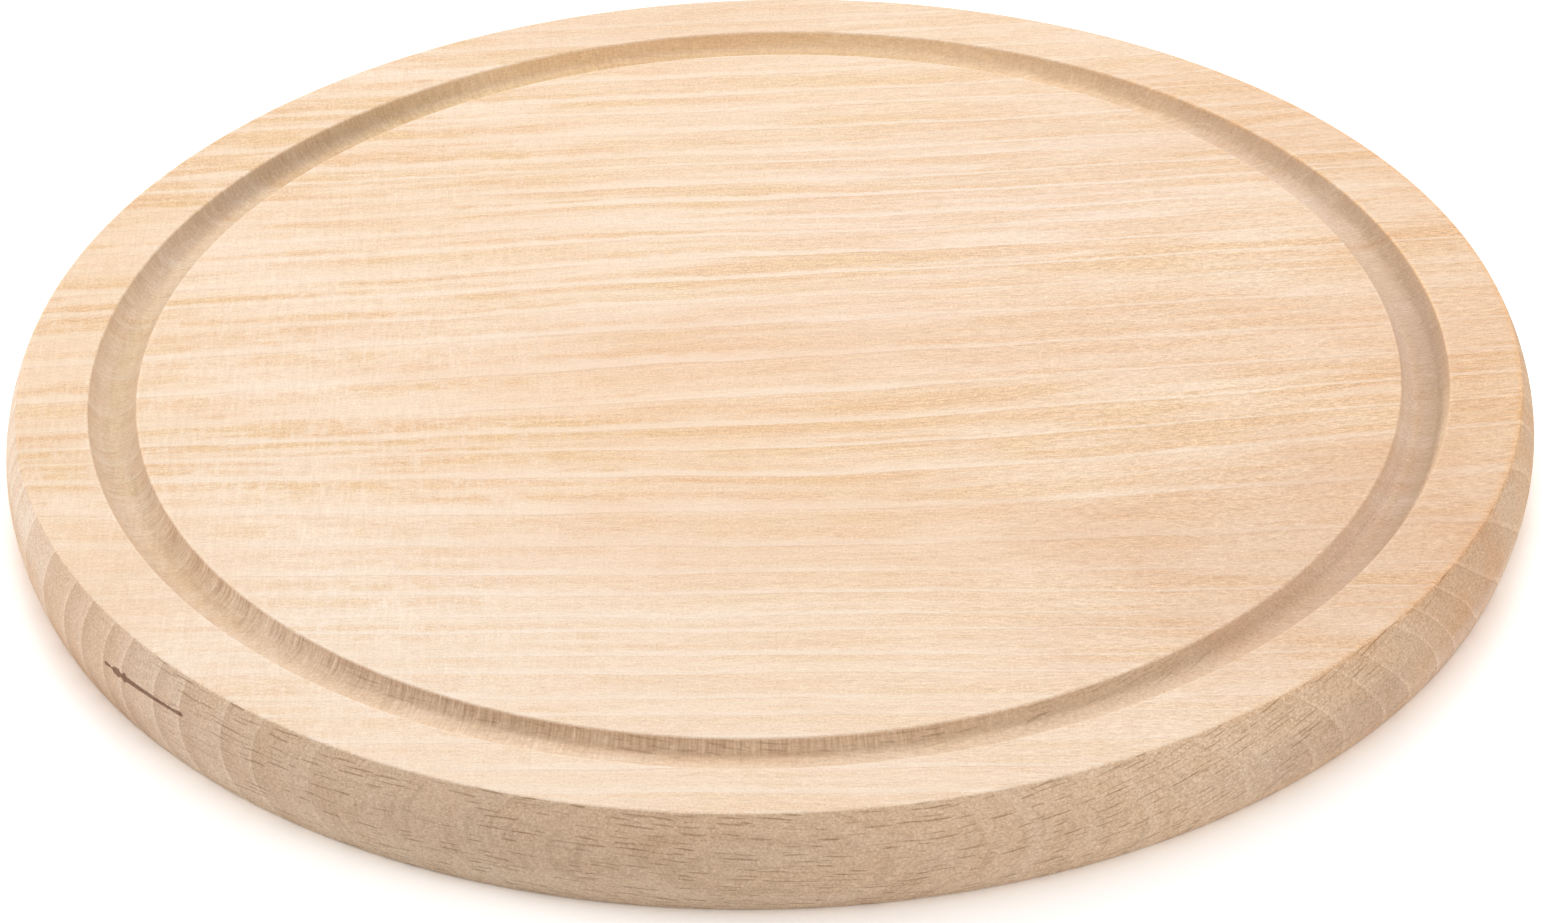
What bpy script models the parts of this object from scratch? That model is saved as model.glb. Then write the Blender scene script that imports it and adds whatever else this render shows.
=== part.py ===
"""Round cutting board: one solid beech blank with a juice groove and a convex edge.

The board lies on its flat underside. Its origin is the centre of that face, +Z points up
through the cutting face, and the grain of the wood runs along X. Lengths are in metres.
"""

import math

import bpy

# Blank
BOARD_DIAMETER = 0.250          # across the crown of the edge, the widest place
BOARD_THICKNESS = 0.018
EDGE_BULGE = 0.0022             # how far the crown of the edge stands out past the rims
CORNER_RADIUS = 0.0006          # both rims, broken with sandpaper

# Juice groove, cut with a round-nosed cutter on a circle round the centre
GROOVE_INSET = 0.0178           # from the crown of the edge in to the middle of the groove
CUTTER_RADIUS = 0.0040
GROOVE_DEPTH = 0.0035
LIP_RADIUS = 0.0003             # both lips of the groove, broken with sandpaper

# Fineness of the turned surface
TURN_STEPS = 96
EDGE_STEPS = 12
CORNER_STEPS = 4
GROOVE_STEPS = 16
LIP_STEPS = 3

# Beech, as it comes off the lathe, with no oil or varnish
WOOD_COLOUR = (0.88, 0.67, 0.47, 1.0)
WOOD_ROUGHNESS = 0.62
WOOD_METALLIC = 0.0

MERGE_DISTANCE = 0.00002


def clear_scene():
    """Removes the objects that the open file starts with."""
    for item in list(bpy.data.objects):
        bpy.data.objects.remove(item, do_unlink=True)


def make_collection(name):
    """Returns a new collection that is linked to the scene."""
    collection = bpy.data.collections.new(name)
    bpy.context.scene.collection.children.link(collection)
    return collection


def make_material(name, colour, roughness, metallic):
    """Returns a Principled material of one plain colour."""
    material = bpy.data.materials.new(name)
    material.use_nodes = True
    shader = material.node_tree.nodes["Principled BSDF"]
    shader.inputs["Base Color"].default_value = colour
    shader.inputs["Roughness"].default_value = roughness
    shader.inputs["Metallic"].default_value = metallic
    material.diffuse_color = colour
    return material


def arc(centre, radius, start, end, steps):
    """Returns steps + 1 points (r, z) on an arc, from one angle to another in radians."""
    angles = [start + (end - start) * i / steps for i in range(steps + 1)]
    return [(centre[0] + radius * math.cos(a), centre[1] + radius * math.sin(a)) for a in angles]


def groove_outline(centre_radius, surface):
    """Returns the groove's cross-section from its inner lip to its outer lip.

    The cutter's round nose leaves an arc. Where the groove is cut deeper than that arc is high,
    straight walls rise from it. Each lip is an arc that touches the wall and the cutting face.
    """
    nose = (centre_radius, surface - GROOVE_DEPTH + CUTTER_RADIUS)
    lip_height = surface - LIP_RADIUS
    # Nose centre above lip centre: the lip touches the arc. Below it: the lip touches an upright wall
    rise = max(nose[1] - lip_height, 0.0)
    lip_reach = math.sqrt((CUTTER_RADIUS + LIP_RADIUS) ** 2 - rise ** 2)
    wall_angle = math.atan2(rise, lip_reach)

    inner_lip = arc((centre_radius - lip_reach, lip_height), LIP_RADIUS,
                    math.pi / 2, wall_angle, LIP_STEPS)
    nose_arc = arc(nose, CUTTER_RADIUS, math.pi + wall_angle, 2 * math.pi - wall_angle, GROOVE_STEPS)
    outer_lip = arc((centre_radius + lip_reach, lip_height), LIP_RADIUS,
                    math.pi - wall_angle, math.pi / 2, LIP_STEPS)
    return inner_lip + nose_arc + outer_lip


def edge_outline(crown_radius):
    """Returns the edge's cross-section from the top rim to the bottom rim.

    One arc makes the convex edge, with its crown at mid-thickness. A small arc inside it
    breaks each rim, and touches both the edge and the flat face.
    """
    half = BOARD_THICKNESS / 2
    edge_radius = (half ** 2 + EDGE_BULGE ** 2) / (2 * EDGE_BULGE)
    edge_centre = (crown_radius - edge_radius, half)
    corner_height = half - CORNER_RADIUS
    corner_reach = math.sqrt((edge_radius - CORNER_RADIUS) ** 2 - corner_height ** 2)
    corner_angle = math.atan2(corner_height, corner_reach)

    top_centre = (edge_centre[0] + corner_reach, half + corner_height)
    bottom_centre = (edge_centre[0] + corner_reach, half - corner_height)
    top = arc(top_centre, CORNER_RADIUS, math.pi / 2, corner_angle, CORNER_STEPS)
    crown = arc(edge_centre, edge_radius, corner_angle, -corner_angle, EDGE_STEPS)
    bottom = arc(bottom_centre, CORNER_RADIUS, -corner_angle, -math.pi / 2, CORNER_STEPS)
    return top + crown + bottom


def drop_repeats(points):
    """Returns the outline without points that repeat the one before them."""
    kept = [points[0]]
    for point in points[1:]:
        if math.dist(point, kept[-1]) > MERGE_DISTANCE:
            kept.append(point)
    return kept


def board_outline():
    """Returns half the board's cross-section, from the middle of the top to the middle of the base."""
    crown_radius = BOARD_DIAMETER / 2
    groove_radius = crown_radius - GROOVE_INSET
    outline = [(0.0, BOARD_THICKNESS)]
    outline += groove_outline(groove_radius, BOARD_THICKNESS)
    outline += edge_outline(crown_radius)
    outline.append((0.0, 0.0))
    return drop_repeats(outline)


def turned_object(name, outline, material, collection):
    """Returns an object whose outline, points (r, z) at +X, a Screw modifier turns round Z."""
    mesh = bpy.data.meshes.new(name)
    vertices = [(r, 0.0, z) for r, z in outline]
    edges = [(i, i + 1) for i in range(len(vertices) - 1)]
    mesh.from_pydata(vertices, edges, [])
    mesh.materials.append(material)
    item = bpy.data.objects.new(name, mesh)
    collection.objects.link(item)

    turn = item.modifiers.new("Turn", "SCREW")
    turn.axis = "Z"
    turn.angle = 2 * math.pi
    turn.screw_offset = 0.0
    turn.steps = TURN_STEPS
    turn.render_steps = TURN_STEPS
    turn.use_merge_vertices = True
    turn.merge_threshold = MERGE_DISTANCE
    turn.use_smooth_shade = True
    return item


def build():
    """Builds the board in a collection of its own."""
    clear_scene()
    parts = make_collection("round_cutting_board")
    wood = make_material("beech", WOOD_COLOUR, WOOD_ROUGHNESS, WOOD_METALLIC)
    turned_object("board", board_outline(), wood, parts)


build()
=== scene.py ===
"""A round cutting board of bare beech, on a white studio floor.

The board is one turned piece. Its surface is swept from a section by Geometry Nodes, and its
wood is one solid figure in space, so that the grain runs through from the cutting face to the
groove and the edge. Lengths are in metres unless a name says millimetres.
"""

import logging
import math
from collections.abc import Sequence
from dataclasses import dataclass

import bpy
from mathutils import Matrix, Vector


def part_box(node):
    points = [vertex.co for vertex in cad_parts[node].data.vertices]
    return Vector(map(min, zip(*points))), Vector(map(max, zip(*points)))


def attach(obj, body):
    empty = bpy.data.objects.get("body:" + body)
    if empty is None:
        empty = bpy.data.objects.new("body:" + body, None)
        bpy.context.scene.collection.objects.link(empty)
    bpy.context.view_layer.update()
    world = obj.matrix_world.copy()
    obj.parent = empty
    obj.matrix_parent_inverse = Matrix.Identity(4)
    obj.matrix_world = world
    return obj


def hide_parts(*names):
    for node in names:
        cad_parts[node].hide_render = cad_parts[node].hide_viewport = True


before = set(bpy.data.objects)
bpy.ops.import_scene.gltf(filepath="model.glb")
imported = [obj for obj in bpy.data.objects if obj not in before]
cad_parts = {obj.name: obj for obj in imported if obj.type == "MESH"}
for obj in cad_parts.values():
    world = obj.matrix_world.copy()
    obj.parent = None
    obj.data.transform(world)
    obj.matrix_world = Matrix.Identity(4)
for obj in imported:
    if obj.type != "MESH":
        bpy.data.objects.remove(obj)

Socket = bpy.types.NodeSocket
Point = tuple[float, float]
Triple = tuple[float, float, float]
Colour = tuple[float, float, float, float]

LOG = logging.getLogger("cutting_board")
MILLIMETRES = 1000.0
FACING = "facing"
WHITE: Colour = (1, 1, 1, 1)
SHADE_DEPTHS: Triple = (0.80, 1.05, 1.28)  # how deep a shade goes in red, green and blue

# A Mix node's colour sockets, which share their names with its number and vector sockets
FIRST_COLOUR = 6
SECOND_COLOUR = 7
MIXED_COLOUR = 2


@dataclass
class Term:
    """A value in a node tree. Signs between terms add Math nodes, so that a tree reads like a sum."""

    sketch: "Sketch"
    socket: Socket

    def __add__(self, other: "Value") -> "Term":
        """Adds a value."""
        return self.sketch.math("ADD", self, other)

    def __sub__(self, other: "Value") -> "Term":
        """Takes a value away."""
        return self.sketch.math("SUBTRACT", self, other)

    def __rsub__(self, other: float) -> "Term":
        """Takes this term away from a number."""
        return self.sketch.math("SUBTRACT", other, self)

    def __mul__(self, other: "Value") -> "Term":
        """Multiplies by a value."""
        return self.sketch.math("MULTIPLY", self, other)

    def __truediv__(self, other: "Value") -> "Term":
        """Divides by a value."""
        return self.sketch.math("DIVIDE", self, other)

    def __pow__(self, power: float) -> "Term":
        """Raises to a power."""
        return self.sketch.math("POWER", self, power)

    def __abs__(self) -> "Term":
        """Drops the sign."""
        return self.sketch.math("ABSOLUTE", self)

    def at_least(self, other: "Value") -> "Term":
        """Returns the larger of this term and a value."""
        return self.sketch.math("MAXIMUM", self, other)

    def clamped(self) -> "Term":
        """Holds the term between 0 and 1."""
        return self.sketch.filled("ShaderNodeClamp", self)

    def length(self) -> "Term":
        """Returns a vector's length."""
        return self.sketch.vector("LENGTH", self).partner("Value")

    def partner(self, name: str) -> "Term":
        """Returns another output of the node that gives this term."""
        return Term(self.sketch, self.socket.node.outputs[name])

    def split(self) -> tuple["Term", ...]:
        """Returns the three parts of a vector or colour."""
        added = self.sketch.filled("ShaderNodeSeparateXYZ", self).socket.node
        return tuple(Term(self.sketch, socket) for socket in added.outputs)

    def ramp(self, low: "Value", high: "Value", floor: float = 0.0, ceiling: float = 1.0) -> "Term":
        """Maps the term smoothly from floor at low to ceiling at high, and holds it outside them.

        Args:
            low: Where the result is floor.
            high: Where the result is ceiling. It may be the smaller of the two.
            floor: The result at and past low.
            ceiling: The result at and past high.

        Returns:
            The mapped term.
        """
        return self.sketch.filled("ShaderNodeMapRange", self, low, high, floor, ceiling,
                                  interpolation_type="SMOOTHSTEP")

    def mapped(self, heights: Sequence[Point]) -> "Term":
        """Maps a share from 0 to 1 by straight runs between points.

        Args:
            heights: The points, each a share and its result, from a share of 0 to a share of 1.

        Returns:
            The mapped share.
        """
        curve = self.sketch.node("ShaderNodeFloatCurve")
        points = curve.mapping.curves[0].points
        points[0].location = heights[0]
        points[1].location = heights[-1]
        for height in heights[1:-1]:
            points.new(*height)
        for point in points:
            point.handle_type = "VECTOR"
        curve.mapping.update()
        self.sketch.feed(curve.inputs["Value"], self)
        return Term(self.sketch, curve.outputs[0])

    def noise(self, cell: Triple, detail: float = 2.0, roughness: float = 0.5,
              offset: float = 0.0) -> "Term":
        """Returns a noise at this place, whose grains have a given size along each axis.

        Args:
            cell: The size of a grain along X, Y and Z, in millimetres.
            detail: How many finer octaves are added.
            roughness: How strong the finer octaves are.
            offset: A shift that keeps one noise unlike another.

        Returns:
            The noise, from 0 to 1 round a mean of a half.
        """
        shift = (self.sketch.seed + offset,) * 3
        stretched = self.sketch.vector("MULTIPLY_ADD", self, tuple(1.0 / size for size in cell), shift)
        added = self.sketch.wired("ShaderNodeTexNoise", {"Vector": stretched, "Scale": 1.0, "Detail": detail,
                                                         "Roughness": roughness}, noise_dimensions="3D")
        return Term(self.sketch, added.outputs["Fac"])


Value = float | tuple | Socket | Term


@dataclass
class Sketch:
    """Adds nodes to a node tree and links them. The seed shifts the tree's noises."""

    tree: bpy.types.NodeTree
    prefix: str
    seed: float = 0.0

    def node(self, kind: str, **settings: object) -> bpy.types.Node:
        """Adds a node.

        Args:
            kind: The node's type, with or without the tree's prefix.
            settings: Properties to set on the node.

        Returns:
            The new node.
        """
        is_whole = kind.startswith(("Shader", "NodeGroup"))
        added = self.tree.nodes.new(kind if is_whole else self.prefix + kind)
        for key, value in settings.items():
            setattr(added, key, value)
        return added

    def feed(self, socket: Socket, value: Value) -> None:
        """Links a socket to a term or another socket, or sets it to a constant.

        Args:
            socket: The input to feed.
            value: What it takes.
        """
        given = value.socket if isinstance(value, Term) else value
        if isinstance(given, Socket):
            self.tree.links.new(given, socket)
        else:
            socket.default_value = given

    def wired(self, kind: str, inputs: dict[str, Value], **settings: object) -> bpy.types.Node:
        """Adds a node and feeds its inputs by name.

        Args:
            kind: The node's type.
            inputs: What each named input takes.
            settings: Properties to set on the node.

        Returns:
            The new node.
        """
        added = self.node(kind, **settings)
        for name, value in inputs.items():
            self.feed(added.inputs[name], value)
        return added

    def filled(self, kind: str, *values: Value, **settings: object) -> Term:
        """Adds a node and feeds its inputs in their order.

        Args:
            kind: The node's type.
            values: What the first inputs take.
            settings: Properties to set on the node.

        Returns:
            The node's first output.
        """
        added = self.node(kind, **settings)
        for socket, value in zip(added.inputs, values):
            self.feed(socket, value)
        return Term(self, added.outputs[0])

    def math(self, operation: str, *values: Value) -> Term:
        """Adds a Math node and returns its result."""
        return self.filled("ShaderNodeMath", *values, operation=operation)

    def vector(self, operation: str, *values: Value) -> Term:
        """Adds a Vector Math node and returns its vector."""
        return self.filled("ShaderNodeVectorMath", *values, operation=operation)

    def combine(self, x: Value, y: Value, z: Value) -> Term:
        """Returns the vector (x, y, z)."""
        return self.filled("ShaderNodeCombineXYZ", x, y, z)

    def blend(self, factor: Value, first: Value, second: Value) -> Term:
        """Mixes two colours.

        Args:
            factor: 0 for the first, 1 for the second.
            first: A colour.
            second: A colour.

        Returns:
            The mixed colour.
        """
        added = self.node("ShaderNodeMix", data_type="RGBA", clamp_factor=True)
        self.feed(added.inputs["Factor"], factor)
        self.feed(added.inputs[FIRST_COLOUR], first)
        self.feed(added.inputs[SECOND_COLOUR], second)
        return Term(self, added.outputs[MIXED_COLOUR])


@dataclass
class BoardSizes:
    """The board's sizes, the same as the frame's node."""

    diameter: float
    thickness: float
    edge_bulge: float = 0.0022
    corner_radius: float = 0.0006
    groove_inset: float = 0.0178
    cutter_radius: float = 0.0040
    groove_depth: float = 0.0035
    lip_radius: float = 0.0003

    @property
    def crown_radius(self) -> float:
        """Radius of the widest place of the edge."""
        return self.diameter / 2

    @property
    def groove_radius(self) -> float:
        """Radius of the circle along the middle of the groove."""
        return self.crown_radius - self.groove_inset

    @property
    def rim_radius(self) -> float:
        """Radius of the corner between the cutting face and the edge, before it is eased."""
        return self.crown_radius - self.edge_bulge


@dataclass(frozen=True)
class Ring:
    """One year's growth: how wide it is, and how tan its late wood grows."""

    width_mm: float
    tan: float


@dataclass(frozen=True)
class Patch:
    """A soft oval patch of the wood: its middle and half size in millimetres, and its tint."""

    middle_mm: Point
    half_mm: Point
    tint: Triple


@dataclass(frozen=True)
class PaintedGrooveShading:
    """A soft stretch of painted shade and painted light on the groove, partly its own tint, in degrees along
    it and millimetres out from its middle line.
    """

    angle: float
    half_angle: float
    side_mm: float
    half_side_mm: float
    tint: Triple


@dataclass
class Wood:
    """The wood at a shaded point, in millimetres from the middle of the cutting face.

    Attributes:
        sketch: Where the nodes are added.
        spot: The place as a vector, whose parts are x, y and z.
        radius: How far it is from the board's axis.
        level: How far back it lies among the rings.
        across: How far up it lies across the rays.
        end_grain: How squarely the surface cuts the fibres, from 0 to 1.
        flat: How level the surface is, from 0 to 1.
        side: How far out it lies from the middle line of the groove.
        sunk: 1 inside the groove, 0 outside it.
        edge: 1 on the turned edge, 0 elsewhere.
        colour: Its colour, as laid so far.
        relief: Its height for the bump, as laid so far.
    """

    sketch: Sketch
    spot: Term
    x: Term
    y: Term
    z: Term
    radius: Term
    level: Term
    across: Term
    end_grain: Term
    flat: Term
    side: Term
    sunk: Term
    edge: Term
    colour: Term
    relief: Value = 0.0

    def along(self) -> Term:
        """Returns the place along the fibres, back through the rings and across the rays."""
        return self.sketch.combine(self.x, self.level, self.across)

    def tint(self, factor: Value, tint: Value) -> None:
        """Multiplies the colour by a tint, by a factor from 0 to 1."""
        tinted = self.sketch.vector("MULTIPLY", self.colour, tint)
        self.colour = self.sketch.blend(factor, self.colour, tinted)

    def shade(self, noise: Term, strength: Value) -> None:
        """Makes the colour lighter and darker by a noise round a half, and keeps its mean.

        Args:
            noise: The noise.
            strength: How deep the shade is. Below 0, the noise's peaks are dark.
        """
        depth = self.sketch.vector("MULTIPLY_ADD", (noise - 0.5) * strength, SHADE_DEPTHS, WHITE[:3])
        self.colour = self.sketch.vector("MULTIPLY", self.colour, depth)


@dataclass
class RingPlace:
    """Where a shaded point lies in its growth ring.

    Attributes:
        phase: From 0 at the front of the ring to 1 at its back.
        tan: How tan the ring's late wood is.
        lots: Three numbers from 0 to 1 that are the ring's own.
        run: A slow change along the fibres.
        blocks: A blocky change along the fibres.
        strands: A thin, stringy change along the fibres.
        left: 1 on the left of the board, 0 on the right.
        right: 1 on the right of the board, 0 on the left.
        pale_end: The phase at which the pale line at the front of the ring ends.
    """

    phase: Term
    tan: Term
    lots: tuple[Term, ...]
    run: Term
    blocks: Term
    strands: Term
    left: Term
    right: Term
    pale_end: Term


@dataclass(frozen=True)
class BeechFinish:
    """Bare, sanded, quarter-sawn beech, as a solid figure in space.

    The growth rings are sheets almost square to Y, the fibres run along X and the rays along Y.
    Colours other than plain are tints that multiply it. Bounds along X, Y and Z in the methods
    are in millimetres from the middle of the cutting face.
    """

    sizes: BoardSizes
    seed: float = 3
    plain: Triple = (0.962, 0.753, 0.568)
    tan: Colour = (0.912, 0.822, 0.660, 1)
    tan_pink: Colour = (0.918, 0.806, 0.676, 1)
    pale: Triple = (1.018, 1.065, 1.130)
    line: Triple = (0.860, 0.830, 0.800)
    crisp: Triple = (1.070, 1.080, 1.070)
    late_end: Triple = (0.860, 0.820, 0.780)
    dash: Triple = (0.680, 0.615, 0.550)
    fibre_dark: Triple = (0.945, 0.920, 0.895)
    fibre_pale: Triple = (1.030, 1.050, 1.075)
    side_tint: Triple = (0.830, 0.760, 0.680)
    left_end_tint: Triple = (1.050, 1.080, 1.180)
    # Painted highlight, paler and bluer, high on the far left end of the edge
    far_left_highlight: Triple = (1.110, 1.220, 1.350)
    right_end_tint: Triple = (1.000, 1.050, 1.110)
    # Painted bounce light from the floor on the foot, and painted shade on the foot at the left
    foot_bounce_light: Triple = (1.110, 1.170, 1.240)
    left_foot_shade: Triple = (0.840, 0.790, 0.740)
    crown_tint: Triple = (1.045, 1.030, 1.020)
    # Painted bounce light from the floor, paler and bluer, low on the right of the edge
    right_foot_bounce_light: Triple = (1.020, 1.080, 1.200)
    right_dim_tint: Triple = (0.880, 0.890, 0.920)
    fuzz: Triple = (1.120, 1.130, 1.130)
    contour: Triple = (0.860, 0.830, 0.800)
    corner_tint: Triple = (1.030, 0.965, 0.880)
    lip_tint: Triple = (1.030, 1.040, 1.050)
    groove_tint: Triple = (1.020, 1.010, 0.980)
    groove_end_tint: Triple = (0.810, 0.800, 0.790)
    torn: Triple = (0.880, 0.855, 0.840)
    mottle: Triple = (0.955, 0.880, 0.760)
    chip: Triple = (1.080, 1.010, 0.870)
    scar: Triple = (0.360, 0.265, 0.225)
    roughness: float = 0.62
    specular: float = 0.25
    bump_depth: float = 0.0002
    bump_strength: float = 0.5
    patches: tuple[Patch, ...] = (
        Patch((-122, 10), (34, 90), (0.970, 0.925, 0.860)),
        Patch((124, 0), (42, 80), (0.955, 0.890, 0.830)),
        Patch((-24, -14), (62, 32), (0.988, 0.950, 0.908)),
        Patch((92, -60), (56, 42), (0.902, 0.827, 0.785)),
        Patch((98, 80), (40, 32), (0.965, 0.905, 0.850)),
        Patch((4, -49), (70, 16), (0.965, 0.908, 0.858)),
        Patch((-106, -56), (32, 20), (0.965, 0.920, 0.865)),
        Patch((114, -36), (20, 30), (0.965, 0.935, 0.905)),
        Patch((-18, 114), (40, 14), (0.965, 0.930, 0.900)),
        Patch((36, 9), (120, 17), (0.976, 0.938, 0.925)),
        Patch((-82, 72), (58, 40), (0.982, 0.957, 0.925)),
        Patch((52, 64), (58, 24), (1.003, 1.020, 1.065)),
        Patch((28, 42), (62, 18), (1.012, 1.022, 1.060)),
        Patch((-50, -64), (74, 29), (1.010, 1.035, 1.075)),
        Patch((0, -108), (110, 30), (1.010, 1.020, 1.040)),
    )
    # Painted shade and painted light on stretches of the groove walls, partly the groove's own tint
    painted_groove_shading: tuple[PaintedGrooveShading, ...] = (
        PaintedGrooveShading(140, 30, 2.8, 2.4, (0.840, 0.840, 0.850)),
        PaintedGrooveShading(346, 34, 1.2, 2.8, (0.870, 0.880, 0.920)),
        PaintedGrooveShading(350, 30, -2.6, 1.7, (1.120, 1.180, 1.300)),
        PaintedGrooveShading(272, 54, -3.4, 1.4, (0.735, 0.695, 0.655)),
        PaintedGrooveShading(184, 50, -1.6, 3.4, (1.080, 1.100, 1.090)),
        PaintedGrooveShading(176, 22, 0, 1.8, (0.950, 0.950, 0.910)),
        PaintedGrooveShading(216, 38, -3.5, 1.3, (0.950, 0.920, 0.900)),
        PaintedGrooveShading(264, 16, -2.4, 1, (0.930, 0.890, 0.850)),
        PaintedGrooveShading(172, 34, 2.9, 1.7, (1.070, 1.095, 1.130)),
        PaintedGrooveShading(90, 60, 0.4, 3.1, (0.885, 0.835, 0.700)),
        PaintedGrooveShading(100, 50, 3.5, 1.1, (0.960, 0.930, 0.840)),
        PaintedGrooveShading(90, 76, 3.5, 1.3, (0.948, 0.935, 0.895)),
        PaintedGrooveShading(110, 34, 1.6, 1.2, (1.105, 1.135, 1.140)),
        PaintedGrooveShading(126, 24, -1, 3.6, (0.970, 0.945, 0.880)),
        PaintedGrooveShading(136, 20, 2.8, 1.6, (0.910, 0.910, 0.910)),
        PaintedGrooveShading(60, 18, 1.2, 1.3, (1.120, 1.160, 1.250)),
        PaintedGrooveShading(34, 30, -1, 3.6, (1.045, 1.075, 1.130)),
        PaintedGrooveShading(34, 22, 2.2, 1.2, (1.040, 1.060, 1.070)),
        PaintedGrooveShading(20, 44, 3, 1.4, (0.890, 0.880, 0.870)),
        PaintedGrooveShading(336, 28, 3.5, 1.4, (1.180, 1.240, 1.260)),
        PaintedGrooveShading(342, 16, 3.6, 1, (1.150, 1.210, 1.230)),
        PaintedGrooveShading(342, 24, -3.6, 1.1, (1.080, 1.100, 1.110)),
        PaintedGrooveShading(346, 22, 1.6, 1.2, (0.950, 0.970, 0.940)),
        PaintedGrooveShading(222, 32, -0.8, 2.4, (0.980, 0.950, 0.900)),
    )
    first_ring_mm: float = -128
    rings: tuple[Ring, ...] = (
        Ring(11.5, 0.5), Ring(6, 0.4), Ring(7, 0.4), Ring(7, 0.3), Ring(4, 0.4), Ring(6.9, 0.4),
        Ring(4.6, 0.4), Ring(6.9, 0.5), Ring(4.2, 0.4), Ring(6, 0.5), Ring(5.5, 0.5), Ring(8.3, 0.35),
        Ring(9.2, 0.4), Ring(10, 0.6), Ring(8.5, 0.8), Ring(7.4, 0.9), Ring(9.5, 1), Ring(10, 0.5),
        Ring(10.5, 0.6), Ring(8, 0.5), Ring(7.1, 0.7), Ring(6, 1.2), Ring(7, 0.5), Ring(5, 0.8),
        Ring(6.5, 0.7), Ring(5.5, 0.9), Ring(6.7, 0.9), Ring(3.3, 0.5), Ring(8.1, 0.9), Ring(7, 0.7),
        Ring(4.5, 0.6), Ring(6.5, 0.7), Ring(6, 0.5), Ring(7, 0.5), Ring(6, 0.5), Ring(7, 0.5),
        Ring(7, 0.5),
    )
    ray_spacing_mm: Triple = (5.2, 60, 0.90)
    ray_half_length_mm: float = 2.5
    ray_half_thickness_mm: float = 0.115
    ray_offset: float = 8
    scar_start_mm: Triple = (-104.7, -67.9, -7.3)
    scar_end_mm: Triple = (-91.9, -84.4, -6.2)
    scar_widths_mm: tuple[Point, ...] = (
        (0, 0.36), (0.05, 0.30), (0.085, 0.05), (0.13, 0.62), (0.19, 0.76), (0.235, 0.30),
        (0.27, 0.92), (0.31, 0.46), (0.60, 0.36), (0.90, 0.28), (0.97, 0.40), (1, 0.26),
    )

    def material(self) -> bpy.types.Material:
        """Builds the wood.

        Returns:
            The material.
        """
        made = bpy.data.materials.new("beech")
        made.use_nodes = True
        sketch = Sketch(made.node_tree, "ShaderNode", self.seed)
        wood = self._wood(sketch)
        self._drift(wood)
        self._fibres(wood, self._rings(wood))
        self._edge_figure(wood)
        self._edge_grit(wood)
        self._ray_marks(wood)
        self._groove_tone_and_painted_shading(wood)
        self._groove_cut(wood)
        self._corner_lines(wood)
        self._scar_mark(wood)

        bump = sketch.wired("Bump", {"Distance": self.bump_depth, "Strength": self.bump_strength,
                                     "Height": wood.relief})
        shader = made.node_tree.nodes["Principled BSDF"]
        shader.inputs["Roughness"].default_value = self.roughness
        shader.inputs["Specular IOR Level"].default_value = self.specular
        sketch.feed(shader.inputs["Base Color"], wood.colour)
        sketch.feed(shader.inputs["Normal"], bump.outputs[0])
        return made

    def _wood(self, sketch: Sketch) -> Wood:
        """Finds where a shaded point lies in the wood, and gives it the plain colour.

        Args:
            sketch: Where the nodes are added.

        Returns:
            The wood at the point.
        """
        given = sketch.node("TexCoord").outputs["Object"]
        drop = (0, 0, -self.sizes.thickness * MILLIMETRES)
        spot = sketch.vector("MULTIPLY_ADD", given, (MILLIMETRES,) * 3, drop)
        x, y, z = spot.split()
        radius = sketch.math("SQRT", x * x + y * y)
        lean = x.ramp(-110, -40, 3, 0) + x.ramp(-40, 25, 0, 2.6)
        lean -= x.ramp(20, 140, 0, 17)
        facing = Term(sketch, sketch.node("Attribute", attribute_name=FACING).outputs["Vector"])
        end_grain, _, flat = facing.split()
        side = radius - self.sizes.groove_radius * MILLIMETRES
        sunk = abs(side).ramp(4.6, 4.2) * z.ramp(-0.08, -0.5)
        rim = self.sizes.rim_radius * MILLIMETRES
        edge = flat.ramp(0.85, 0.35) * radius.ramp(rim - 3, rim - 1)
        colour = sketch.filled("CombineColor", *self.plain)
        return Wood(sketch, spot, x, y, z, radius, self._level(spot), z + lean, end_grain, flat, side,
                    sunk, edge, colour)

    def _level(self, spot: Term) -> Term:
        """Bends the rings from flat sheets into the slopes, dips and waves that they have.

        Args:
            spot: The place of the shaded point.

        Returns:
            How far back it lies among the rings, in millimetres along the middle of the board.
        """
        x, y, z = spot.split()
        from_bend = x - 8
        left = spot.sketch.math("SMOOTH_MIN", from_bend, 0, 30)
        right = spot.sketch.math("SMOOTH_MAX", from_bend, 0, 30)
        left_slope = y.ramp(-32, -6, -0.028, 0.065) - y.ramp(5, 60, 0, 0.023)
        right_slope = y.ramp(-72, -18, -0.031, 0.0865) - y.ramp(-12, 12, 0, 0.0375)
        rise = left * left_slope + right * right_slope
        dip = x.ramp(-90, 0) * y.ramp(12, -4)
        dip = dip.at_least(x.ramp(-80, -100) * y.ramp(-30, -50, 0, 1.6))
        tilt = x.ramp(-112, -88, -0.05, 0.12) - x.ramp(-70, -10, 0, 0.10)
        tilt -= x.ramp(30, 125, 0, 0.75)
        level = y - (rise - dip * 0.75) - z * tilt
        wander = spot.noise((80, 22, 60), detail=1)
        wander_fine = spot.noise((22, 8, 20), detail=1, offset=7)
        return level + (wander - 0.5) * 3.6 + (wander_fine - 0.5) * 1.4

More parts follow.
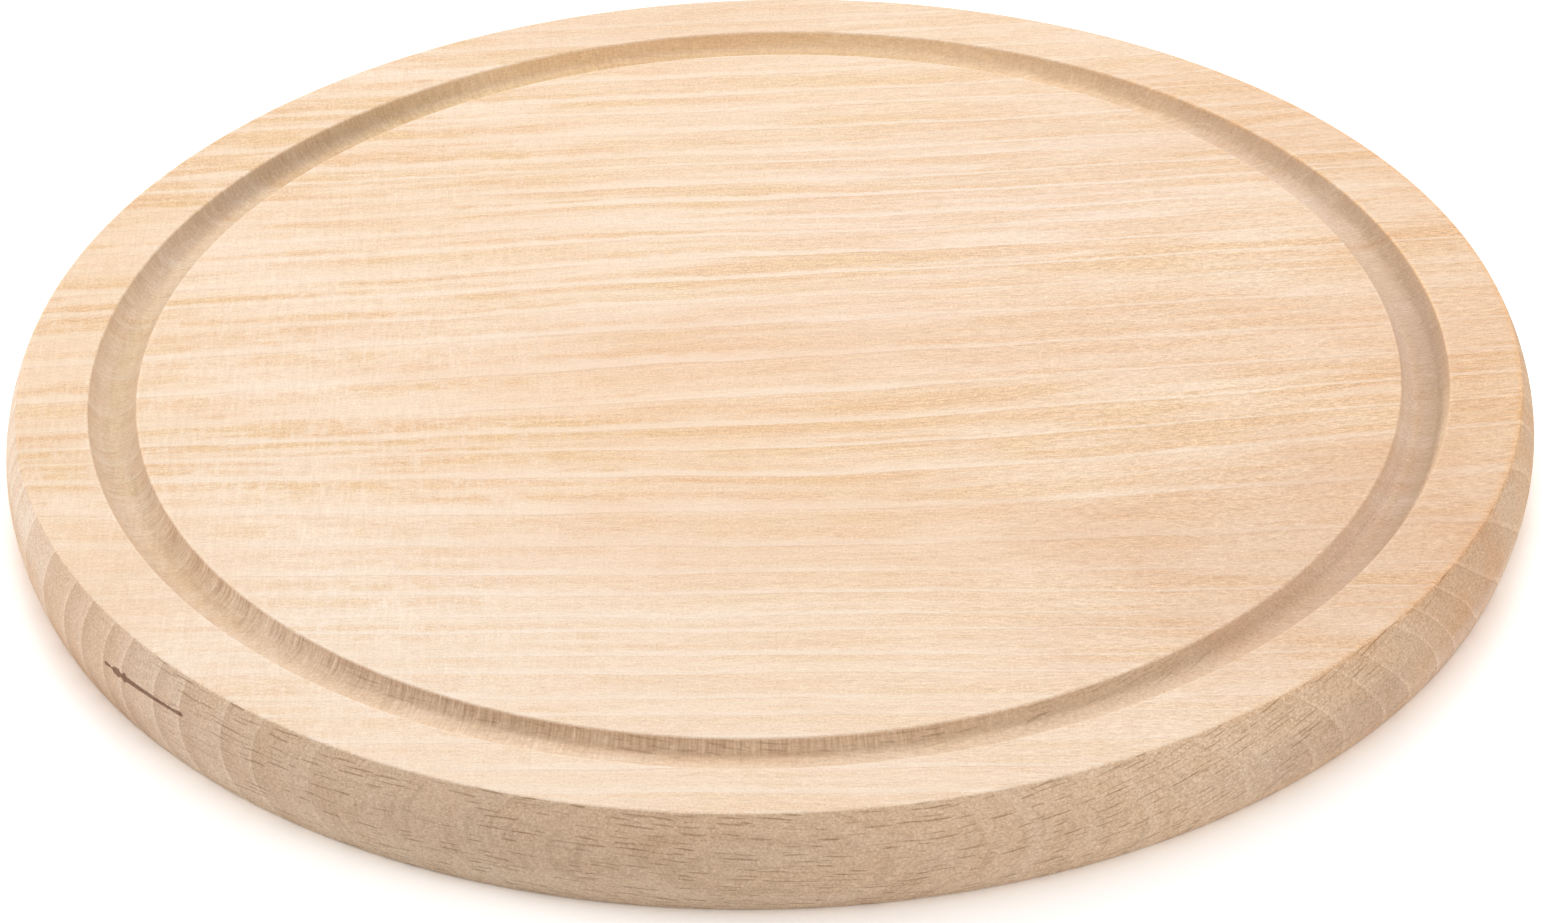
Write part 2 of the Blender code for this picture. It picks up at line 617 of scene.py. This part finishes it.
    def _drift(self, wood: Wood) -> None:
        """Lets the plain colour drift slowly over the board.

        Args:
            wood: The wood at the shaded point.
        """
        slow = wood.spot.noise((34, 12, 40), detail=3, offset=31)
        for patch in self.patches:
            scale = (1 / patch.half_mm[0], 1 / patch.half_mm[1], 0)
            offset = (-patch.middle_mm[0] * scale[0], -patch.middle_mm[1] * scale[1], 0)
            away = wood.sketch.vector("MULTIPLY_ADD", wood.spot, scale, offset).length()
            wood.tint((away + (slow - 0.5) * 1.2).ramp(1.25, 0.25), patch.tint)
        wood.tint(slow.ramp(0.46, 0.66, 0, 0.22), self.pale)

    def _ring_place(self, wood: Wood) -> RingPlace:
        """Finds where a shaded point lies in its growth ring.

        Args:
            wood: The wood at the shaded point.

        Returns:
            The place in the ring.
        """
        sketch = wood.sketch
        span = sum(ring.width_mm for ring in self.rings)
        share = (wood.level - self.first_ring_mm) / span
        bounds = [(0, 0)]
        tans = [(0, self.rings[0].tan / 2)]
        reached = 0
        for i, ring in enumerate(self.rings):
            tans.append(((reached + 0.35 * ring.width_mm) / span, ring.tan / 2))
            reached += ring.width_mm
            bounds.append((reached / span, (i + 1) / len(self.rings)))
        tans.append((1, self.rings[-1].tan / 2))
        index = share.mapped(bounds) * float(len(self.rings))
        chance = sketch.wired("TexWhiteNoise", {"W": sketch.math("FLOOR", index) + self.seed},
                              noise_dimensions="1D")
        lots = Term(sketch, chance.outputs["Color"]).split()

        along = wood.along()
        blocks = along.noise((7, 3.2, 4), detail=3, roughness=0.6, offset=25)
        right = wood.x.ramp(-20, 50)
        pale_end = (lots[1] * 0.16 + 0.30) * (right * -0.62 + 1) * blocks.ramp(0.38, 0.62, 1.15, 0.80)
        return RingPlace(
            phase=sketch.math("FRACT", index), tan=share.mapped(tans) * 2, lots=lots,
            run=along.noise((48, 5, 9), offset=21), blocks=blocks,
            strands=along.noise((11, 0.6, 0.6), roughness=0.6, offset=27),
            left=wood.x.ramp(5, -60), right=right, pale_end=pale_end)

    def _late_wood(self, wood: Wood, ring: RingPlace) -> Term:
        """Finds how tan the wood is: behind the pale line, and again towards the back of a ring.

        Args:
            wood: The wood at the shaded point.
            ring: Its place in its ring.

        Returns:
            0 on plain wood, and about 1 on tan wood.
        """
        x, y, phase, run, blocks = wood.x, wood.y, ring.phase, ring.run, ring.blocks
        along = wood.along()
        back_run = along.noise((60, 5, 9), offset=22)
        bands = along.noise((46, 1.5, 6), roughness=0.6, offset=24)
        gaps = wood.spot.noise((1.1, 7, 7), detail=1, offset=26)
        blocky = ring.left * y.ramp(12, 44, 1, 0.35)
        reach = ring.lots[0] * 0.45 + 0.52 + (blocks - 0.5) * (blocky * 0.40 + 0.12)
        softness = ring.lots[2] * 0.30 + 0.20
        late = phase.ramp(reach, reach - softness) * run.ramp(0.38, 0.58, 0.35, 1.20)
        late = late.at_least(phase.ramp(0.38, 0.70) * back_run.ramp(0.42, 0.58, 0, 1.1))
        late = late.at_least(x.ramp(-70, 0) * run.ramp(0.40, 0.60, 0.45, 0.90))
        banded = y.ramp(-50, 50, 0.7, 1) * (ring.left * -0.5 + 1) * y.ramp(50, 90, 1, 0.70)
        late = (late + bands.ramp(0.36, 0.64, -0.38, 0.38) * banded).at_least(0)
        late *= phase.ramp(ring.pale_end * 0.45, ring.pale_end)
        late *= ring.tan
        broken = blocks.ramp(0.40, 0.54, 0.45, 1.20) - 1 - gaps.ramp(0.50, 0.62, 0, 0.50)
        late *= broken * blocky + 1
        late *= ring.strands.ramp(0.34, 0.62, 0.84, 1.10)
        strong = x.ramp(-10, -60) * y.ramp(20, 60, 0, 0.45)
        late *= strong.at_least(x.ramp(20, 60) * y.ramp(-30, -60, 0, 0.25)) + 1
        late *= x.ramp(-30, 40) * y.ramp(30, 70, 0, -0.08) + 1
        return late * (phase.ramp(0.90, 0.99) * (ring.left * -0.7) + 1)

    def _pale_line(self, wood: Wood, ring: RingPlace) -> Term:
        """Finds how pale the wood is at the front of a ring.

        Args:
            wood: The wood at the shaded point.
            ring: Its place in its ring.

        Returns:
            0 on plain wood, and 1 on the palest.
        """
        y, phase, right = wood.y, ring.phase, ring.right
        fading = wood.along().noise((32, 3, 8), offset=23)
        pale = phase.ramp(ring.pale_end, ring.pale_end * 0.15)
        pale *= phase.ramp(0, y.ramp(0, 40, 0.03, 0.15) + right * 0.04)
        pale *= right * -0.22 + 1
        pale *= 1 - fading.ramp(0.36, 0.54) * (right * 0.20 + 0.60)
        pale *= ring.strands.ramp(0.65, 0.40, 0.70, 1)
        return pale * y.ramp(-66, -30, 0.50, 1) * y.ramp(10, 50, 1, 0.54)

    def _rings(self, wood: Wood) -> Term:
        """Lays the growth rings: a pale line, tan wood, plain wood, tan wood again and a thin dark line.

        Args:
            wood: The wood at the shaded point.

        Returns:
            How strongly fibres mark each part of a ring.
        """
        ring = self._ring_place(wood)
        phase = ring.phase
        dark = (phase.ramp(0.020, 0.004) + phase.ramp(0.955, 0.997)).clamped()
        dark *= ring.run.ramp(0.38, 0.60, 0.15, 0.50)

        # The groove and the front of the edge show the rings less than the cutting face and the ends
        upright = wood.flat.ramp(0.8, 0.3)
        end = upright * wood.end_grain.ramp(0.10, 0.55) * wood.x.ramp(-123, -110, 0.40, 1)
        front = upright * wood.end_grain.ramp(0.60, 0.10)
        sunk = wood.sunk * -0.58 + 1
        late = self._late_wood(wood, ring) * sunk * (upright * -0.5 + 1)
        pale = self._pale_line(wood, ring) * sunk * (front * -0.8 + 1)
        dark *= sunk * (front * -0.6 + 1)
        brown = phase.ramp(0.35, 0.97) * end * sunk * wood.x.ramp(60, -60, 0.30, 0.78)
        crisp = phase.ramp(0.15, 0.05) * phase.ramp(0, 0.02) * end * sunk

        hue = wood.spot.noise((26, 7, 20), offset=29)
        pinkish = hue.ramp(0.42, 0.58).at_least(ring.right * 0.7)
        wood.tint(late.clamped(), wood.sketch.blend(pinkish, self.tan, self.tan_pink))
        wood.tint(pale, self.pale)
        wood.tint(dark, self.line)
        wood.tint(brown, self.late_end)
        wood.tint(crisp, self.crisp)
        return late * 0.6 + 0.8 - pale * 0.4

    def _fibres(self, wood: Wood, fine: Term) -> None:
        """Lays the fibres, the specks and the upright strokes of the rays over the rings.

        Args:
            wood: The wood at the shaded point.
            fine: How strongly fibres mark each part of a ring.
        """
        x, y, spot, along = wood.x, wood.y, wood.spot, wood.along()
        streaks = along.noise((16, 0.8, 0.8), offset=3)
        wood.tint(streaks.ramp(0.45, 0.75) * x.ramp(-70, 10, 0.28, 0.50), self.fibre_dark)
        wood.tint(streaks.ramp(0.50, 0.25, 0, 0.50), self.fibre_pale)
        pores = along.noise((1.7, 0.27, 0.27), roughness=0.6, offset=5)
        fibres = along.noise((4.5, 0.30, 0.30), detail=1, offset=6)
        specks = spot.noise((0.44, 0.38, 0.38), roughness=0.7, offset=9)
        strokes = spot.noise((0.50, 7, 7), roughness=0.6, offset=13)
        broad = spot.noise((1.8, 6, 12), offset=15)
        fine *= x.ramp(-40, 40, 0.82, 1)
        fine *= x.ramp(10, 50) * y.ramp(20, 60, 0, -0.28) + 1
        wood.shade(fibres, fine * x.ramp(0, 70, -0.20, -0.46))
        wood.shade(pores, fine * -0.42)
        wood.shade(specks, fine * x.ramp(-60, 80, -0.74, -0.56))
        left = x.ramp(-10, -70, 0.15, 1) * wood.flat.ramp(0.6, 0.95, 0.3, 1)
        wood.shade(strokes, left * 0.19)
        wood.tint(broad.ramp(0.52, 0.62) * left * 0.6, self.fibre_pale)
        wood.relief = specks * 0.6 + pores

    def _edge_figure(self, wood: Wood) -> None:
        """Tints the turned edge.

        Args:
            wood: The wood at the shaded point.
        """
        x, z, edge = wood.x, wood.z, wood.edge
        ends = edge * wood.end_grain.ramp(0.25, 0.80)
        left = ends * x.ramp(-50, -90)
        right = ends * x.ramp(50, 90)
        front = edge * wood.end_grain.ramp(0.55, 0.15)
        wood.tint(edge, self.side_tint)
        wood.tint(left, self.left_end_tint)
        # Painted highlight high on the far left end of the edge
        wood.tint(left * x.ramp(-112, -121) * z.ramp(-8.5, -4.5), self.far_left_highlight)
        wood.tint(front * z.ramp(-8, -2), self.crown_tint)

        # The foot is pale towards the front and the right with painted bounce light from the floor, and dark
        # towards the left with painted shade
        share = x.ramp(-104, -84, -0.6, 1.2) - x.ramp(-35, 5, 0, 0.6)
        foot = edge * z.ramp(-9.5, -16.5) * (share + x.ramp(90, 110, 0, 1.1))
        wood.tint(foot.at_least(0), self.foot_bounce_light)
        wood.tint((foot * -1.6).clamped(), self.left_foot_shade)
        # Painted bounce light from the floor low on the right of the edge
        wood.tint(edge * x.ramp(98, 108) * z.ramp(-9, -12), self.right_foot_bounce_light)
        dim = x.ramp(60, 80) * x.ramp(104, 94) * z.ramp(-5, -9) * z.ramp(-17, -14.5)
        wood.tint(dim * edge, self.right_dim_tint)

        blotch = wood.spot.noise((11, 11, 12), offset=61)
        wood.tint(right * blotch.ramp(0.40, 0.60), self.right_end_tint)
        contours = wood.along().noise((34, 0.55, 7), offset=63)
        wood.tint(contours.ramp(0.50, 0.66, 0, 0.6) * front, self.contour)

    def _edge_grit(self, wood: Wood) -> None:
        """Gives the turned edge its grit and the woolly blotches of cut wood.

        Args:
            wood: The wood at the shaded point.
        """
        grit = wood.spot.noise((0.42, 0.42, 0.30), roughness=0.7, offset=65)
        wool = wood.spot.noise((0.9, 0.9, 0.6), detail=4, roughness=0.8, offset=67)
        woolly = wood.edge * (wood.x.ramp(20, 80) * 0.8 + 0.35)
        wood.shade(grit, wood.edge * -0.85)
        wood.shade(wool, woolly * 0.55)
        fuzz = abs(wool - 0.5).ramp(0.05, 0.01) * woolly
        wood.tint((fuzz * 0.6).clamped(), self.fuzz)
        wood.relief = wool * woolly * 0.8 + wood.relief

    def _ray_marks(self, wood: Wood) -> None:
        """Marks the rays that end at the front and back of the edge and the groove as dark dashes.

        Rays are thin sheets that run inward across the rings, placed at random.

        Args:
            wood: The wood at the shaded point.
        """
        sketch = wood.sketch
        waves = wood.spot.noise((9, 5, 4), detail=1, offset=self.ray_offset)
        spot = sketch.combine(wood.x, wood.level, wood.across + (waves - 0.5) * 0.9)
        shift = (self.seed + self.ray_offset,) * 3
        scaled = sketch.vector("MULTIPLY_ADD", spot, tuple(1 / step for step in self.ray_spacing_mm), shift)
        cells = sketch.wired("TexVoronoi", {"Vector": scaled, "Scale": 1, "Randomness": 1},
                             voronoi_dimensions="3D", feature="F1")
        away = sketch.vector("SUBTRACT", scaled, cells.outputs["Position"])
        off_x, _, off_z = sketch.vector("MULTIPLY", away, self.ray_spacing_mm).split()
        lots = Term(sketch, cells.outputs["Color"]).split()
        length = (lots[0] + 0.4) * self.ray_half_length_mm
        thickness = (lots[1] + 0.5) * self.ray_half_thickness_mm
        distance = (off_x / length) ** 2 + (off_z / thickness) ** 2

        wall = wood.sunk * wood.flat.ramp(0.95, 0.55, 0, 0.6) * (wood.y / wood.radius).ramp(-0.60, -0.85)
        dashes = distance.ramp(1.1, 0.45) * wall.at_least(wood.edge)
        dashes *= wood.end_grain.ramp(0.40, 0.75, 1, 0) * lots[2].ramp(0.10, 0.90)
        wood.tint(dashes, self.dash)
        wood.relief = dashes * -0.8 + wood.relief

    def _groove_tone_and_painted_shading(self, wood: Wood) -> None:
        """Darkens the groove, most where it crosses the fibres, and lays painted shade and painted light on
        stretches of it.

        Args:
            wood: The wood at the shaded point.
        """
        cosine = wood.x / wood.radius
        sine = wood.y / wood.radius
        crossing = cosine ** 2
        wood.tint(wood.sunk * (1 - crossing), self.groove_tint)
        wood.tint(wood.sunk * crossing, self.groove_end_tint)
        # Painted shade and painted light on stretches of the groove
        for shade in self.painted_groove_shading:
            middle = math.radians(shade.angle)
            nearness = cosine * math.cos(middle) + sine * math.sin(middle)
            factor = nearness.ramp(math.cos(math.radians(shade.half_angle)), 1)
            off = abs(wood.side - shade.side_mm)
            factor *= off.ramp(shade.half_side_mm, 0.3 * shade.half_side_mm)
            wood.tint(factor * wood.sunk, shade.tint)

    def _groove_cut(self, wood: Wood) -> None:
        """Roughens the groove, which the cutter left unsanded.

        Args:
            wood: The wood at the shaded point.
        """
        sunk, side = wood.sunk, wood.side
        cosine = wood.x / wood.radius
        sine = wood.y / wood.radius
        turn = wood.sketch.math("ARCTAN2", wood.y, wood.x) * (self.sizes.groove_radius * MILLIMETRES)
        unrolled = wood.sketch.combine(turn, side, wood.z)
        hatch = unrolled.noise((0.36, 4, 4), roughness=0.6, offset=41)
        blotch = unrolled.noise((6, 2.5, 3), detail=3, roughness=0.6, offset=43)
        ticks = unrolled.noise((0.42, 5, 5), detail=1, offset=45)
        mottle = unrolled.noise((0.8, 0.6, 0.6), roughness=0.7, offset=47)

        # A wall that was cut against the fibres is torn: the outer one at the back right, the inner one
        # at the front left
        against = (sine * cosine * 2.4).clamped()
        tearing = sunk * against * (side * cosine).ramp(-0.6, 1.8, 0.15, 1)
        tearing *= blotch.ramp(0.36, 0.60, 0.25, 1) * hatch.ramp(0.30, 0.60, 0.45, 1)
        wood.tint(tearing, self.torn)
        wood.shade(hatch, sunk * cosine.ramp(0.1, -0.5, 0.25, 1) * -0.42)
        ticked = sine.ramp(-0.1, -0.5) * cosine.ramp(0.6, 0) * side.ramp(-2.2, -3.4)
        wood.shade(ticks, ticked * sunk * -0.9)
        wood.tint(sine.ramp(0.1, -0.5) * side.ramp(1.6, 3) * sunk * mottle.ramp(0.48, 0.60), self.mottle)
        wood.relief = hatch * sunk * 1.2 + wood.relief
        wood.relief = tearing * -0.8 + wood.relief

    def _corner_lines(self, wood: Wood) -> None:
        """Warms the sanded corner of the rim, chips the groove's outer lip and pales both lips.

        Args:
            wood: The wood at the shaded point.
        """
        side = wood.side
        rim = self.sizes.rim_radius * MILLIMETRES
        corner = wood.radius.ramp(rim - 1, rim - 0.5) * wood.z.ramp(-0.9, -0.4) * wood.x.ramp(40, 110)
        wood.tint(corner, self.corner_tint)
        turn = wood.sketch.math("ARCTAN2", wood.y, wood.x) * wood.radius
        teeth = wood.sketch.combine(turn, side, 0).noise((0.55, 3, 1), offset=71)
        chipped = side.ramp(3.74, 3.94) * (side - teeth.ramp(0.35, 0.70, -0.32, 0.46)).ramp(4.12, 3.98)
        chipped *= (wood.x / wood.radius).ramp(0.40, 0.72) * wood.y.ramp(-6, 14)
        wood.tint(chipped, self.chip)
        lip = abs(side).ramp(3.80, 4.05) * abs(side).ramp(4.50, 4.30) * wood.z.ramp(-0.6, -0.3)
        wood.tint(lip, self.lip_tint)

    def _scar_mark(self, wood: Wood) -> None:
        """Draws the dark streak along a ray on the left of the edge, with a knot of it near its upper end.

        Args:
            wood: The wood at the shaded point.
        """
        sketch = wood.sketch
        start = Vector(self.scar_start_mm)
        run = Vector(self.scar_end_mm) - start
        offset = sketch.vector("SUBTRACT", wood.spot, tuple(start))
        projected = sketch.vector("DOT_PRODUCT", offset, tuple(run / run.length_squared)).partner("Value")
        share = projected.clamped()
        beyond = abs(projected - share) * run.length
        drop = abs(wood.z - (share * run.z + start.z))
        ragged = wood.spot.noise((0.7, 0.7, 0.4), offset=51)
        width = (ragged - 0.5) * 0.35 + share.mapped(self.scar_widths_mm)
        near = wood.x.ramp(-80, -88) * wood.y.ramp(-60, -64)
        wood.tint((drop + beyond - width).ramp(0.10, -0.12) * near, self.scar)


@dataclass
class TurnedBoard:
    """The board's surface, turned from its section by Geometry Nodes."""

    sizes: BoardSizes
    finish: BeechFinish
    columns: int = 960
    groove_steps: int = 28
    lip_steps: int = 5
    corner_steps: int = 6
    edge_steps: int = 24
    hold: float = 0.0002
    merge_distance: float = 0.000002

    def build(self) -> bpy.types.Object:
        """Makes the board, rides it on the root body and puts it in place of the frame's node.

        Returns:
            The board's object.
        """
        section = self._section_object()
        tree = self._turning_tree()
        turning = section.modifiers.new("turning", "NODES")
        turning.node_group = tree
        values = {"Columns": self.columns, "Rows": len(section.data.vertices),
                  "Merge Distance": self.merge_distance, "Wood": self.finish.material()}
        for item in tree.interface.items_tree:
            if item.item_type == "SOCKET" and item.in_out == "INPUT" and item.name in values:
                turning[item.identifier] = values[item.name]

        graph = bpy.context.evaluated_depsgraph_get()
        mesh = bpy.data.meshes.new_from_object(section.evaluated_get(graph))
        mesh.name = "beech_board"
        board = bpy.data.objects.new("beech_board", mesh)
        bpy.context.scene.collection.objects.link(board)
        bpy.data.objects.remove(section)
        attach(board, "root")
        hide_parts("board")
        return board

    def _arc(self, centre: Point, radius: float, start: float, end: float, steps: int) -> list[Point]:
        """Returns steps + 1 points (r, z) on an arc, from one angle to another in radians."""
        turns = [start + (end - start) * i / steps for i in range(steps + 1)]
        return [(centre[0] + radius * math.cos(turn), centre[1] + radius * math.sin(turn)) for turn in turns]

    def _groove(self) -> list[Point]:
        """Makes the groove's section.

        Returns:
            The points (r, z) from its inner lip to its outer lip.
        """
        s = self.sizes
        nose = (s.groove_radius, s.thickness - s.groove_depth + s.cutter_radius)
        lip_height = s.thickness - s.lip_radius
        rise = nose[1] - lip_height
        reach = math.sqrt((s.cutter_radius + s.lip_radius) ** 2 - rise ** 2)
        wall = math.atan2(rise, reach)
        inner_lip = (s.groove_radius - reach, lip_height)
        outer_lip = (s.groove_radius + reach, lip_height)
        inner = self._arc(inner_lip, s.lip_radius, math.pi / 2, wall, self.lip_steps)
        bottom = self._arc(nose, s.cutter_radius, math.pi + wall, 2 * math.pi - wall, self.groove_steps)
        outer = self._arc(outer_lip, s.lip_radius, math.pi - wall, math.pi / 2, self.lip_steps)
        return inner + bottom[1:-1] + outer

    def _edge(self) -> list[Point]:
        """Makes the edge's section.

        Returns:
            The points (r, z) from the top corner to the bottom corner.
        """
        s = self.sizes
        half = s.thickness / 2
        radius = (half ** 2 + s.edge_bulge ** 2) / (2 * s.edge_bulge)
        centre = (s.crown_radius - radius, half)
        height = half - s.corner_radius
        reach = math.sqrt((radius - s.corner_radius) ** 2 - height ** 2)
        turn = math.atan2(height, reach)
        top_corner = (centre[0] + reach, half + height)
        bottom_corner = (centre[0] + reach, half - height)
        top = self._arc(top_corner, s.corner_radius, math.pi / 2, turn, self.corner_steps)
        crown = self._arc(centre, radius, turn, -turn, self.edge_steps)
        bottom = self._arc(bottom_corner, s.corner_radius, -turn, -math.pi / 2, self.corner_steps)
        return top + crown[1:-1] + bottom

    def _section(self) -> list[Point]:
        """Makes the whole section, with a close row beside each corner to keep the flats flat.

        Returns:
            The points (r, z) from the middle of the cutting face to the middle of the underside.
        """
        groove = self._groove()
        edge = self._edge()
        top = self.sizes.thickness
        island = [(0.0, top), (groove[0][0] / 2, top), (groove[0][0] - self.hold, top)]
        rim = [(groove[-1][0] + self.hold, top), (edge[0][0] - self.hold, top)]
        base = [(edge[-1][0] - self.hold, 0.0), (edge[-1][0] / 2, 0.0), (0.0, 0.0)]
        return island + groove + rim + edge + base

    def _section_object(self) -> bpy.types.Object:
        """Makes the section as an object of loose points at +X.

        Returns:
            The object.
        """
        mesh = bpy.data.meshes.new("section")
        mesh.from_pydata([(r, 0.0, z) for r, z in self._section()], [], [])
        item = bpy.data.objects.new("section", mesh)
        bpy.context.scene.collection.objects.link(item)
        return item

    def _turning_tree(self) -> bpy.types.NodeTree:
        """Builds the tree that sweeps the section round Z.

        Returns:
            The tree, with its sizes as named inputs.
        """
        tree = bpy.data.node_groups.new("turned_section", "GeometryNodeTree")
        inputs = {"Section": "Geometry", "Columns": "Int", "Rows": "Int", "Merge Distance": "Float",
                  "Wood": "Material"}
        for name, kind in inputs.items():
            tree.interface.new_socket(name, in_out="INPUT", socket_type="NodeSocket" + kind)
        tree.interface.new_socket("Board", in_out="OUTPUT", socket_type="NodeSocketGeometry")

        sketch = Sketch(tree, "GeometryNode")
        given = sketch.node("NodeGroupInput").outputs
        index = sketch.node("InputIndex").outputs[0]
        row = sketch.math("FLOORED_MODULO", index, given["Rows"])
        column = sketch.math("FLOOR", sketch.math("DIVIDE", index, given["Rows"]))
        turn = column / given["Columns"] * (-2 * math.pi)
        grid = sketch.wired("MeshGrid", {"Vertices X": sketch.math("ADD", given["Columns"], 1.0),
                                         "Vertices Y": given["Rows"]})
        sample = sketch.wired("SampleIndex", {"Geometry": given["Section"], "Index": row,
                                              "Value": sketch.node("InputPosition").outputs[0]},
                              data_type="FLOAT_VECTOR", domain="POINT")
        around = sketch.wired("ShaderNodeVectorRotate", {"Vector": sample.outputs[0], "Angle": turn},
                              rotation_type="Z_AXIS")
        swept = sketch.wired("SetPosition", {"Geometry": grid.outputs["Mesh"],
                                             "Position": around.outputs[0]})
        closed = sketch.wired("MergeByDistance", {"Geometry": swept.outputs[0],
                                                  "Distance": given["Merge Distance"]})
        smooth = sketch.wired("SetShadeSmooth", {"Geometry": closed.outputs[0]})
        normal = sketch.node("InputNormal").outputs[0]
        faced = sketch.wired("StoreNamedAttribute", {"Geometry": smooth.outputs[0], "Name": FACING,
                                                     "Value": sketch.vector("MULTIPLY", normal, normal)},
                             data_type="FLOAT_VECTOR", domain="POINT")
        real = sketch.wired("RealizeInstances", {"Geometry": faced.outputs[0]})
        dressed = sketch.wired("SetMaterial", {"Geometry": real.outputs[0], "Material": given["Wood"]})
        sketch.wired("NodeGroupOutput", {"Board": dressed.outputs[0]})
        return tree


@dataclass(frozen=True)
class SoftLamp:
    """A square soft lamp: its place, its side in metres and its power in watts."""

    name: str
    place: Triple
    size: float
    power: float


@dataclass
class Studio:
    """The white floor, the lamps and the camera."""

    sizes: BoardSizes
    elevation: float = math.radians(33.270)
    roll: float = math.radians(-1.504)
    distance_in_radii: float = 9.6613
    aim_in_radii: Point = (0.0013, -0.2183)
    lens_mm: float = 172.44
    sensor_mm: float = 36.0
    nearest: float = 0.05
    farthest: float = 50.0
    floor_size: float = 6.0
    floor_bounce: Colour = (0.92, 0.92, 0.92, 1.0)
    floor_seen: Colour = (1.42, 1.42, 1.42, 1.0)
    world_strength: float = 0.41
    lamps: tuple[SoftLamp, ...] = (
        SoftLamp("overhead", (0.0, 0.0, 1.6), 1.2, 7.1),
        SoftLamp("back", (0.0, 0.9, 1.1), 0.8, 7.0),
        SoftLamp("left_low", (-1.2, 0.30, 0.28), 0.45, 5.2),
        SoftLamp("right_low", (1.1, -0.6, 0.20), 0.45, 3.8),
    )

    def build(self) -> None:
        """Makes the floor, the lamps, the world and the camera."""
        self._floor()
        for lamp in self.lamps:
            self._lamp(lamp)
        self._world()
        self._camera()

    def _floor(self) -> None:
        """Lays a white floor, which keeps the board's shadow and looks white to the camera."""
        half = self.floor_size / 2
        corners = [(-half, -half, 0.0), (half, -half, 0.0), (half, half, 0.0), (-half, half, 0.0)]
        mesh = bpy.data.meshes.new("floor")
        mesh.from_pydata(corners, [], [(0, 1, 2, 3)])
        floor = bpy.data.objects.new("floor", mesh)
        bpy.context.scene.collection.objects.link(floor)
        material = bpy.data.materials.new("white_floor")
        material.use_nodes = True
        nodes = material.node_tree.nodes
        nodes.remove(nodes["Principled BSDF"])
        sketch = Sketch(material.node_tree, "ShaderNode")
        seen = sketch.node("LightPath").outputs["Is Camera Ray"]
        white = sketch.blend(seen, self.floor_bounce, self.floor_seen)
        diffuse = sketch.wired("BsdfDiffuse", {"Color": white})
        sketch.feed(nodes["Material Output"].inputs["Surface"], diffuse.outputs[0])
        mesh.materials.append(material)

    def _lamp(self, lamp: SoftLamp) -> None:
        """Hangs a square soft lamp that faces the middle of the board.

        Args:
            lamp: Its name, place, size and power.
        """
        data = bpy.data.lights.new(lamp.name, "AREA")
        data.shape = "SQUARE"
        data.size = lamp.size
        data.energy = lamp.power
        item = bpy.data.objects.new(lamp.name, data)
        item.location = lamp.place
        item.rotation_euler = (-Vector(lamp.place)).to_track_quat("-Z", "Y").to_euler()
        bpy.context.scene.collection.objects.link(item)

    def _world(self) -> None:
        """Surrounds the board with white, dimmer as light than it looks to the camera."""
        world = bpy.data.worlds.new("studio")
        world.use_nodes = True
        sketch = Sketch(world.node_tree, "ShaderNode")
        path = sketch.node("LightPath").outputs
        seen = sketch.math("MAXIMUM", path["Is Camera Ray"], path["Is Glossy Ray"])
        background = world.node_tree.nodes["Background"]
        background.inputs["Color"].default_value = WHITE
        sketch.feed(background.inputs["Strength"], seen.ramp(0.0, 1.0, self.world_strength, 1.0))
        bpy.context.scene.world = world

    def _camera(self) -> None:
        """Places the camera as the photograph was taken."""
        radius = self.sizes.rim_radius
        distance = self.distance_in_radii * radius
        aim = Vector((self.aim_in_radii[0] * radius, self.aim_in_radii[1] * radius, self.sizes.thickness))
        ahead = Vector((0.0, math.cos(self.elevation), -math.sin(self.elevation)))
        above = Vector((0.0, math.sin(self.elevation), math.cos(self.elevation)))
        level = Vector((1.0, 0.0, 0.0))
        across = level * math.cos(self.roll) + above * math.sin(self.roll)
        upward = above * math.cos(self.roll) - level * math.sin(self.roll)
        data = bpy.data.cameras.new("camera")
        data.lens = self.lens_mm
        data.sensor_width = self.sensor_mm
        data.sensor_fit = "HORIZONTAL"
        data.clip_start = self.nearest
        data.clip_end = self.farthest
        camera = bpy.data.objects.new("camera", data)
        turn = Matrix((across, upward, -ahead)).transposed()
        camera.matrix_world = Matrix.Translation(aim - ahead * distance) @ turn.to_4x4()
        bpy.context.scene.collection.objects.link(camera)
        bpy.context.scene.camera = camera


def main() -> None:
    """Builds the board and the studio, and reports each piece."""
    logging.basicConfig(level=logging.INFO, format="%(name)s: %(message)s")
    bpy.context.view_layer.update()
    low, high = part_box("board")
    sizes = BoardSizes(diameter=high[0] - low[0], thickness=high[2] - low[2])
    board = TurnedBoard(sizes, BeechFinish(sizes)).build()
    LOG.info("%s: %d faces", board.name, len(board.data.polygons))
    Studio(sizes).build()
    LOG.info("studio: floor, lamps, world and camera")
    bpy.context.scene.view_settings.view_transform = "Standard"


if __name__ == "__main__":
    main()
